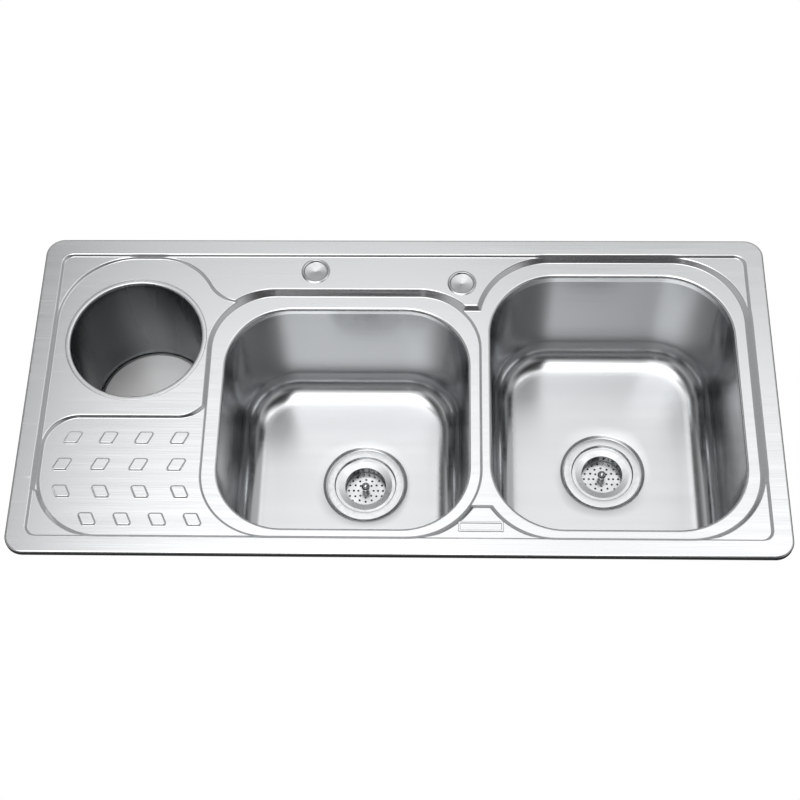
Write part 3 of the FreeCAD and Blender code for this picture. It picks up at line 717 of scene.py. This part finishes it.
def cap_mesh(side):
    """A dished blanking cap with its stud."""
    low, _ = box_mm("tap_cap_" + side)
    z = LEDGE_Z
    profile = Outline(
        [(AXIS_R, low[2]), (CAP_STUD_R, low[2]), (CAP_STUD_R, z - 2.1), (15.6, z - 1.75), (17.0, z),
         (CAP_R, z), (CAP_R, z + 0.3), (17.9, z + 1.1), (16.9, z + 0.9), (15.4, z - 0.95),
         (AXIS_R, z - 1.3)],
        [0.01, 0.4, 0.3, 1.0, 0.3, 0.1, 0.15, 1.2, 0.6, 1.2, 0.01])
    return lathe_mesh("dished_cap_" + side, profile, centre_mm("tap_cap_" + side),
                      segments=96, arc_steps=6)


# ------------------------------------------------------------------ materials

PAINTED_SHADE_TOP = -2.5   # height above which the bin's steel keeps its plain bright tint; below it, faces turned into the can take a dark tint as painted shade


class NodeTree:
    """Short ways to build a node tree."""

    def __init__(self, tree):
        self.tree = tree

    def add(self, kind, **inputs):
        """A new node with some of its inputs set."""
        node = self.tree.nodes.new(kind)
        for key, value in inputs.items():
            node.inputs[key.replace("_", " ")].default_value = value
        return node

    def link(self, source, target):
        """Connect a signal to an input."""
        self.tree.links.new(source, target)

    def feed(self, value, target):
        """Give an input a number or another signal."""
        if isinstance(value, bpy.types.NodeSocket):
            self.link(value, target)
        else:
            target.default_value = value

    def maths(self, operation, *inputs):
        """A maths operation on numbers or signals."""
        node = self.add("ShaderNodeMath")
        node.operation = operation
        for value, target in zip(inputs, node.inputs):
            self.feed(value, target)
        return node.outputs["Value"]

    def ease(self, value, start, end, low=0.0, high=1.0):
        """A soft step from low to high as value goes from start to end."""
        node = self.add("ShaderNodeMapRange")
        node.interpolation_type = "SMOOTHSTEP"
        for given, target in zip((value, start, end, low, high), node.inputs):
            self.feed(given, target)
        return node.outputs["Result"]


CLOUD_SHARE = 0.3        # part of the roughness by which a clouded metal varies
CLOUD_RELIEF = 0.05
CLOUD_DEPTH = 0.00005


class Nodes(NodeTree):
    """A material, and short ways to build its nodes."""

    def __init__(self, name):
        self.material = bpy.data.materials.new(name)
        self.material.use_nodes = True
        super().__init__(self.material.node_tree)
        self.shader = self.tree.nodes["Principled BSDF"]
        self.place = self.add("ShaderNodeTexCoord").outputs["Object"]

    def noise(self, scale, detail=2.0):
        """Noise whose grain is stretched by a scale for each axis."""
        mapping = self.add("ShaderNodeMapping", Scale=scale)
        self.link(self.place, mapping.inputs["Vector"])
        noise = self.add("ShaderNodeTexNoise", Scale=1.0, Detail=detail)
        self.link(mapping.outputs["Vector"], noise.inputs["Vector"])
        return noise.outputs["Fac"]

    def spread(self, source, low, high, start=0.3, end=0.7):
        """A straight change from low to high as a signal goes from start to end, by default a noise's."""
        node = self.add("ShaderNodeMapRange")
        for given, target in zip((source, start, end, low, high), node.inputs):
            self.feed(given, target)
        return node.outputs["Result"]

    def clouded(self, rough, grain):
        """A cloudy variation of the roughness, and a faint relief with it."""
        cloud = self.noise((grain, grain, grain), 3.0)
        self.link(self.spread(cloud, rough * (1 - CLOUD_SHARE), rough * (1 + CLOUD_SHARE)),
                  self.shader.inputs["Roughness"])
        self.bump(cloud, CLOUD_RELIEF, CLOUD_DEPTH)

    def by_height(self, start, end):
        """0 to 1 as the height in mm goes from start to end."""
        parts = self.add("ShaderNodeSeparateXYZ")
        self.link(self.place, parts.inputs["Vector"])
        return self.spread(parts.outputs["Z"], 0.0, 1.0, start * MM, end * MM)

    def above_floor(self, start, end):
        """0 to 1 as the height above a bowl's floor goes from start to end."""
        return self.by_height(FLOOR_Z + start, FLOOR_Z + end)

    def set(self, **values):
        """Set the shader's inputs."""
        for key, value in values.items():
            self.shader.inputs[key.replace("_", " ")].default_value = value

    def mixed_tint(self, first, second):
        """Drive the base colour by a mix of two tints; returns the socket for the share of the second."""
        node = self.add("ShaderNodeMix")
        node.data_type = "RGBA"
        node.inputs["A"].default_value = (*first, 1.0)
        node.inputs["B"].default_value = (*second, 1.0)
        self.link(node.outputs["Result"], self.shader.inputs["Base Color"])
        return node.inputs["Factor"]

    def geometry(self, output):
        """A signal of the surface itself."""
        return self.add("ShaderNodeNewGeometry").outputs[output]

    def mixed_shader(self, share, first, second):
        """A mix of two shaders; share is that of the second."""
        node = self.add("ShaderNodeMixShader")
        for value, target in zip((share, first, second), node.inputs):
            self.link(value, target)
        return node.outputs["Shader"]

    def surface(self, shader):
        """Use a shader in place of the plain one."""
        self.link(shader, self.tree.nodes["Material Output"].inputs["Surface"])

    def bump(self, source, strength, distance):
        """Relief from a signal, of a depth in metres."""
        node = self.add("ShaderNodeBump", Distance=distance)
        self.feed(strength, node.inputs["Strength"])
        self.link(source, node.inputs["Height"])
        self.link(node.outputs["Normal"], self.shader.inputs["Normal"])


BROAD_GRAIN = 7.0        # the broad grain is this much coarser than the fine one
BROAD_UNEVEN = 0.025     # and changes the roughness by this much
GRAIN_DEPTH = 0.00002    # in metres, at full relief
# where a bowl's looks change, as heights above its floor; in the first, the walls' darker tint, a painted
# shade, fades into the floor's tint
WALL_SHADE_FADE = (FLOOR_ROLL, 4.0)
DULL_CHANGE = (1.5, 0.2)
RELIEF_CHANGE = (0.3, 0.02)


def brushed_steel(name, tint, rough, along=(9.0, 900.0, 900.0), anisotropy=0.4, cross=(0.0, 1.0, 0.3),
                  relief=0.12, dull_floor=0.0, floor_relief=0.0, shaded_wall_tint=None, uneven=0.05):
    """Steel with fine grain drawn out along one direction.

    along is the grain's scale on each axis, cross the direction in which the grain spreads reflections.
    dull_floor and floor_relief are added to the roughness and the relief on a bowl's floor.
    """
    n = Nodes(name)
    n.set(Base_Color=(*tint, 1.0), Metallic=1.0, Anisotropic=anisotropy)
    # a bowl's walls take the darker wall tint as painted shade, fading into the plain tint near its floor
    if shaded_wall_tint:
        mix = n.mixed_tint(shaded_wall_tint, tint)
        n.link(n.above_floor(*WALL_SHADE_FADE), mix)
    fine = n.noise(along, 3.0)
    broad = n.noise(tuple(v / BROAD_GRAIN for v in along), 2.0)
    mixed = n.maths("ADD", n.spread(fine, rough - uneven, rough + uneven),
                    n.spread(broad, -BROAD_UNEVEN, BROAD_UNEVEN))
    n.link(n.maths("MULTIPLY_ADD", n.above_floor(*DULL_CHANGE), dull_floor, mixed),
           n.shader.inputs["Roughness"])
    if anisotropy:
        direction = n.add("ShaderNodeCombineXYZ", X=cross[0], Y=cross[1], Z=cross[2])
        n.link(direction.outputs["Vector"], n.shader.inputs["Tangent"])
    n.bump(fine, n.maths("MULTIPLY_ADD", n.above_floor(*RELIEF_CHANGE), floor_relief, relief), GRAIN_DEPTH)
    return n.material


def bin_steel(name, inside, flange, rough):
    """Rolled can steel: dull and dark inside the can, a dark tint that is painted shade, and the plain bright
    tint on its outer face and on the flange that hangs in the deck.
    """
    n = Nodes(name)
    n.set(Metallic=1.0)
    from_axis = n.add("ShaderNodeVectorMath")
    from_axis.operation = "SUBTRACT"
    n.link(n.place, from_axis.inputs[0])
    from_axis.inputs[1].default_value = (bin_centre[0] * MM, bin_centre[1] * MM, 0.0)
    outward = n.add("ShaderNodeVectorMath")
    outward.operation = "DOT_PRODUCT"
    n.link(from_axis.outputs["Vector"], outward.inputs[0])
    n.link(n.geometry("Normal"), outward.inputs[1])
    # faces turned into the can below the lip get the dark tint: painted shade
    outside = n.maths("GREATER_THAN", outward.outputs["Value"], 0.0)
    bright = n.maths("MAXIMUM", outside, n.by_height(PAINTED_SHADE_TOP, PAINTED_SHADE_TOP + 1.5))
    n.link(bright, n.mixed_tint(inside, flange))
    streaks = n.noise((40.0, 40.0, 2.0), 1.0)
    n.link(n.spread(streaks, rough - 0.03, rough + 0.03), n.shader.inputs["Roughness"])
    return n.material


def smooth_metal(name, tint, rough, grain):
    """Polished or plated metal with a slight cloudy variation."""
    n = Nodes(name)
    n.set(Base_Color=(*tint, 1.0), Metallic=1.0)
    n.clouded(rough, grain)
    return n.material


def basket_painted_light_metal(name, wall, level, rough):
    """Perforated sheet tinted by slope: a dark tint on its steep walls as painted shade, a bright tint on its
    level faces as painted highlight.
    """
    n = Nodes(name)
    n.set(Metallic=1.0)
    parts = n.add("ShaderNodeSeparateXYZ")
    n.link(n.geometry("Normal"), parts.inputs["Vector"])
    levelness = n.maths("ABSOLUTE", parts.outputs["Z"])
    # the tint follows the slope: painted shade on steep faces, painted highlight on level ones
    n.link(n.spread(levelness, 0.0, 1.0, 0.4, 0.9), n.mixed_tint(wall, level))
    n.clouded(rough, 60.0)
    return n.material


def soft_matter(name, tint, rough, grain, depth):
    """Rubber, foam, fibre or moulded plastic with a fine surface grain."""
    n = Nodes(name)
    n.set(Base_Color=(*tint, 1.0))
    speck = n.noise((grain, grain, grain), 4.0)
    n.link(n.spread(speck, rough - 0.08, rough + 0.08), n.shader.inputs["Roughness"])
    n.bump(speck, 0.4, depth)
    return n.material


MATERIALS = {
    "deck_steel": brushed_steel("deck_steel", (0.80, 0.81, 0.82), 0.22),
    # bowl steel: the darker wall tint is painted shade on the bowls' walls
    "bowl_steel": brushed_steel("bowl_steel", (0.76, 0.77, 0.78), 0.18, along=(5.0, 330.0, 330.0),
                                anisotropy=0.5, cross=(0.0, 0.5, 1.0), relief=0.01, dull_floor=0.16,
                                floor_relief=0.35, shaded_wall_tint=(0.52, 0.53, 0.54), uneven=0.015),
    # bin steel: the dark first tint is painted shade inside the can
    "bin_steel": bin_steel("bin_steel", (0.17, 0.18, 0.185), (0.78, 0.79, 0.80), 0.26),
    "polished_steel": smooth_metal("polished_steel", (0.66, 0.67, 0.68), 0.20, 160.0),
    "zinc_steel": smooth_metal("zinc_steel", (0.66, 0.68, 0.70), 0.34, 420.0),
    "plaque_satin": brushed_steel("plaque_satin", (0.78, 0.79, 0.80), 0.24),
    "foam_seal": soft_matter("foam_seal", (0.06, 0.06, 0.065), 0.85, 900.0, 0.0003),
    "damping_pad": soft_matter("damping_pad", (0.10, 0.10, 0.105), 0.80, 350.0, 0.0004),
    "black_rubber": soft_matter("black_rubber", (0.02, 0.02, 0.02), 0.55, 1200.0, 0.0001),
    "fibre_washer": soft_matter("fibre_washer", (0.42, 0.33, 0.22), 0.80, 900.0, 0.0002),
    "white_plastic": soft_matter("white_plastic", (0.78, 0.78, 0.76), 0.42, 500.0, 0.00005),
}

# the bin's base takes a near-white tint as a painted highlight, and the baskets' perforated walls a dark tint
# as painted shade
OWN_LOOK = {"bin_base": brushed_steel("bin_base_painted_highlight_steel", (0.97, 0.97, 0.97), 0.50, relief=0.02),
            "basket_centre": basket_painted_light_metal("basket_painted_light_steel", (0.16, 0.165, 0.17), (0.74, 0.75, 0.76), 0.28)}
OWN_LOOK["basket_right"] = OWN_LOOK["basket_centre"]

for part in frame["record"]["subparts"]:
    node = frame["nodes"][part["node"]]
    node.data.materials.clear()
    node.data.materials.append(OWN_LOOK.get(part["node"], MATERIALS[part["material_slot"]]))

# ------------------------------------------------------------------ pieces that stand for CAD nodes

pieces = [("deck", deck_mesh(), "deck_steel", "sink"), ("bin_can", bin_mesh(), "bin_steel", "waste_bin")]
for side in ("centre", "right"):
    pieces.append(("bowl_" + side, bowl_mesh(side), "bowl_steel", "sink"))
    pieces.append(("strainer_body_" + side, strainer_mesh(side), "polished_steel", "sink"))
for side in ("left", "right"):
    pieces.append(("tap_cap_" + side, cap_mesh(side), "polished_steel", "sink"))
for cad_node, mesh, slot, body in pieces:
    item = add_object(mesh.name, mesh, MATERIALS[slot], body)
    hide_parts(cad_node)

# ------------------------------------------------------------------ stage

def stage_mesh(name, points, faces, material):
    """A flat mesh in metres that belongs to the stage, not to the object."""
    mesh = bpy.data.meshes.new(name)
    mesh.from_pydata(points, [], faces)
    mesh.materials.append(material)
    item = bpy.data.objects.new(name, mesh)
    bpy.context.scene.collection.objects.link(item)


def floor_material():
    """Pale and dull from above, clear from below so that the sink's underside shows."""
    n = Nodes("floor")
    n.set(Base_Color=(0.86, 0.86, 0.86, 1.0))
    n.link(n.spread(n.noise((3.0, 3.0, 3.0)), 0.85, 0.95), n.shader.inputs["Roughness"])
    clear = n.add("ShaderNodeBsdfTransparent").outputs["BSDF"]
    n.surface(n.mixed_shader(n.geometry("Backfacing"), n.shader.outputs["BSDF"], clear))
    return n.material


def card_material():
    """White where it is seen steeply from above, dark when reflected from above, and clear otherwise."""
    n = Nodes("card")
    facing = n.add("ShaderNodeLayerWeight", Blend=0.5).outputs["Facing"]
    path = n.add("ShaderNodeLightPath")
    below = n.geometry("Backfacing")
    seen = n.maths("GREATER_THAN", path.outputs["Is Camera Ray"], below)
    mirrored = n.maths("GREATER_THAN", path.outputs["Is Glossy Ray"], below)
    shown = n.maths("MULTIPLY", n.maths("LESS_THAN", facing, CARD_STEEP), seen)
    clear = n.add("ShaderNodeBsdfTransparent").outputs["BSDF"]
    white = n.add("ShaderNodeEmission", Strength=1.0).outputs["Emission"]
    dark = n.add("ShaderNodeEmission", Strength=0.03).outputs["Emission"]
    n.surface(n.mixed_shader(shown, n.mixed_shader(mirrored, clear, dark), white))
    return n.material


FLOOR_HALF = 40.0        # half the floor's width, in metres
FLOOR_DROP = 0.002       # in metres, below the sink's lowest point
floor_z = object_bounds()[0].z - FLOOR_DROP
floor_corners = [(-FLOOR_HALF, -FLOOR_HALF, floor_z), (FLOOR_HALF, -FLOOR_HALF, floor_z),
                 (FLOOR_HALF, FLOOR_HALF, floor_z), (-FLOOR_HALF, FLOOR_HALF, floor_z)]
stage_mesh("floor", floor_corners, [(0, 1, 2, 3)], floor_material())

# A white card round the sink at worktop height. It hides the undersides, as the photographed setting does.
CARD_MARGIN = 1600.0
CARD_LAP = 4.0           # it starts this far inside the rim outline
CARD_Z = -0.4
CARD_STEEP = 0.32        # facing value below which the view counts as steep
deck_low, deck_high = box_mm("deck")
rim_edge = rounded_box(deck_low[0], deck_high[0], deck_low[1], deck_high[1], RIM_CORNER)
card_rings = [flat_ring(rim_edge.walk(grow)[0], CARD_Z) for grow in (-CARD_LAP, CARD_MARGIN)]
around = len(card_rings[0])
stage_mesh("card", (np.concatenate(card_rings) * MM).tolist(),
           [(i, around + i, around + (i + 1) % around, (i + 1) % around) for i in range(around)],
           card_material())

# ------------------------------------------------------------------ light

# The room's light by direction: bright overhead and towards the rear, dim at the horizon, with a dark gap
# and a narrow window low in front. Each range gives where a change starts and ends, along one direction,
# and the strength at its start and its end.
REAR_SIDES = (-0.29, -0.19, 0.25, 1.0)
REAR_DIP_AT = 0.09
REAR_DIP = (0.0, 0.09, 0.78, 1.0)
FRONT_RIGHT = (0.05, 0.24, 1.85, 0.05)
FRONT_LEFT = (-0.60, -0.30, 0.06, 1.0)
REAR_HALF = (-0.2, 0.2)
OVERHEAD = (0.795, 0.895, 0.50, 1.45)
HORIZON = (0.0, 0.5, 0.30, 0.50)
BLEND = (0.5, 0.78)
GAP_IN_FRONT = (0.62, 0.80)
GAP_ABOVE = (0.10, 0.30)
GAP_DEPTH = 0.92
WINDOW_AT = -0.115
WINDOW_SIDES = (0.0, 0.025, 1.0, 0.0)
WINDOW_TOP = (0.75, 0.6)
WINDOW_STRENGTH = 0.8
BACKDROP = 0.95          # what the camera itself sees

world = bpy.data.worlds.new("studio")
bpy.context.scene.world = world
world.use_nodes = True
sky_nodes = NodeTree(world.node_tree)
background = sky_nodes.tree.nodes["Background"]
background.inputs["Color"].default_value = (1.0, 1.0, 1.0, 1.0)
calc = sky_nodes.maths
ease = sky_nodes.ease


def mixed(first, second, share):
    """first where share is 0, second where it is 1."""
    return calc("ADD", calc("MULTIPLY", second, share), calc("MULTIPLY", first, calc("SUBTRACT", 1.0, share)))


aim = sky_nodes.add("ShaderNodeSeparateXYZ")
sky_nodes.link(sky_nodes.add("ShaderNodeTexCoord").outputs["Generated"], aim.inputs[0])
to_right, to_rear, upward = aim.outputs
rear_dip = ease(calc("ABSOLUTE", calc("SUBTRACT", to_right, REAR_DIP_AT)), *REAR_DIP)
rear_sides = calc("MULTIPLY", ease(to_right, *REAR_SIDES), rear_dip)
front_sides = calc("MULTIPLY", ease(to_right, *FRONT_RIGHT), ease(to_right, *FRONT_LEFT))
sides = mixed(front_sides, rear_sides, ease(to_rear, *REAR_HALF))
overhead = calc("MULTIPLY", ease(upward, *OVERHEAD), sides)
sky = mixed(ease(upward, *HORIZON), overhead, ease(upward, *BLEND))
gap = calc("MULTIPLY", ease(calc("MULTIPLY", to_rear, -1.0), *GAP_IN_FRONT), ease(upward, *GAP_ABOVE))
sky = calc("MULTIPLY", sky, calc("MULTIPLY_ADD", gap, -GAP_DEPTH, 1.0))
window = calc("MULTIPLY", ease(calc("ABSOLUTE", calc("SUBTRACT", to_right, WINDOW_AT)), *WINDOW_SIDES),
              calc("MULTIPLY", gap, ease(upward, *WINDOW_TOP)))
sky = calc("MULTIPLY_ADD", window, WINDOW_STRENGTH, sky)
sky = mixed(sky, BACKDROP, sky_nodes.add("ShaderNodeLightPath").outputs["Is Camera Ray"])
sky_nodes.link(sky, background.inputs["Strength"])


# a soft rectangular light above the rear, aimed at the sink and left out of its reflections
SOFTBOX_PLACE = Vector((0.0, 0.9, 2.4))
SOFTBOX_WIDTH = 2.6
SOFTBOX_DEPTH = 1.6
SOFTBOX_WATTS = 30.0
softbox_data = bpy.data.lights.new("overhead", "AREA")
softbox_data.shape = "RECTANGLE"
softbox_data.size = SOFTBOX_WIDTH
softbox_data.size_y = SOFTBOX_DEPTH
softbox_data.energy = SOFTBOX_WATTS
softbox = bpy.data.objects.new("overhead", softbox_data)
bpy.context.scene.collection.objects.link(softbox)
softbox.location = SOFTBOX_PLACE
softbox.rotation_mode = "QUATERNION"
softbox.rotation_quaternion = (-SOFTBOX_PLACE).to_track_quat("-Z", "Y")
softbox.visible_glossy = False

# ------------------------------------------------------------------ camera

# The camera stands above the front of the sink, at the photo's viewing angle, turned a little each way.
CAMERA_PLACE = Vector((59.2, -1053.3, 1868.4)) * MM
CAMERA_PITCH = math.radians(60.84)
CAMERA_YAW = math.radians(-3.23)
CAMERA_ROLL = math.radians(-2.55)
CAMERA_LENS = 72.4

forward = Vector((math.sin(CAMERA_YAW) * math.cos(CAMERA_PITCH),
                  math.cos(CAMERA_YAW) * math.cos(CAMERA_PITCH), -math.sin(CAMERA_PITCH)))
level_right = Vector((math.cos(CAMERA_YAW), -math.sin(CAMERA_YAW), 0.0))
level_up = level_right.cross(forward)
right = level_right * math.cos(CAMERA_ROLL) + level_up * math.sin(CAMERA_ROLL)
up = level_up * math.cos(CAMERA_ROLL) - level_right * math.sin(CAMERA_ROLL)
camera_data = bpy.data.cameras.new("camera")
camera_data.lens = CAMERA_LENS
camera = bpy.data.objects.new("camera", camera_data)
bpy.context.scene.collection.objects.link(camera)
turn = Matrix((right, up, -forward)).transposed().to_4x4()
camera.matrix_world = Matrix.Translation(CAMERA_PLACE) @ turn
bpy.context.scene.camera = camera
bpy.context.scene.view_settings.view_transform = "Standard"
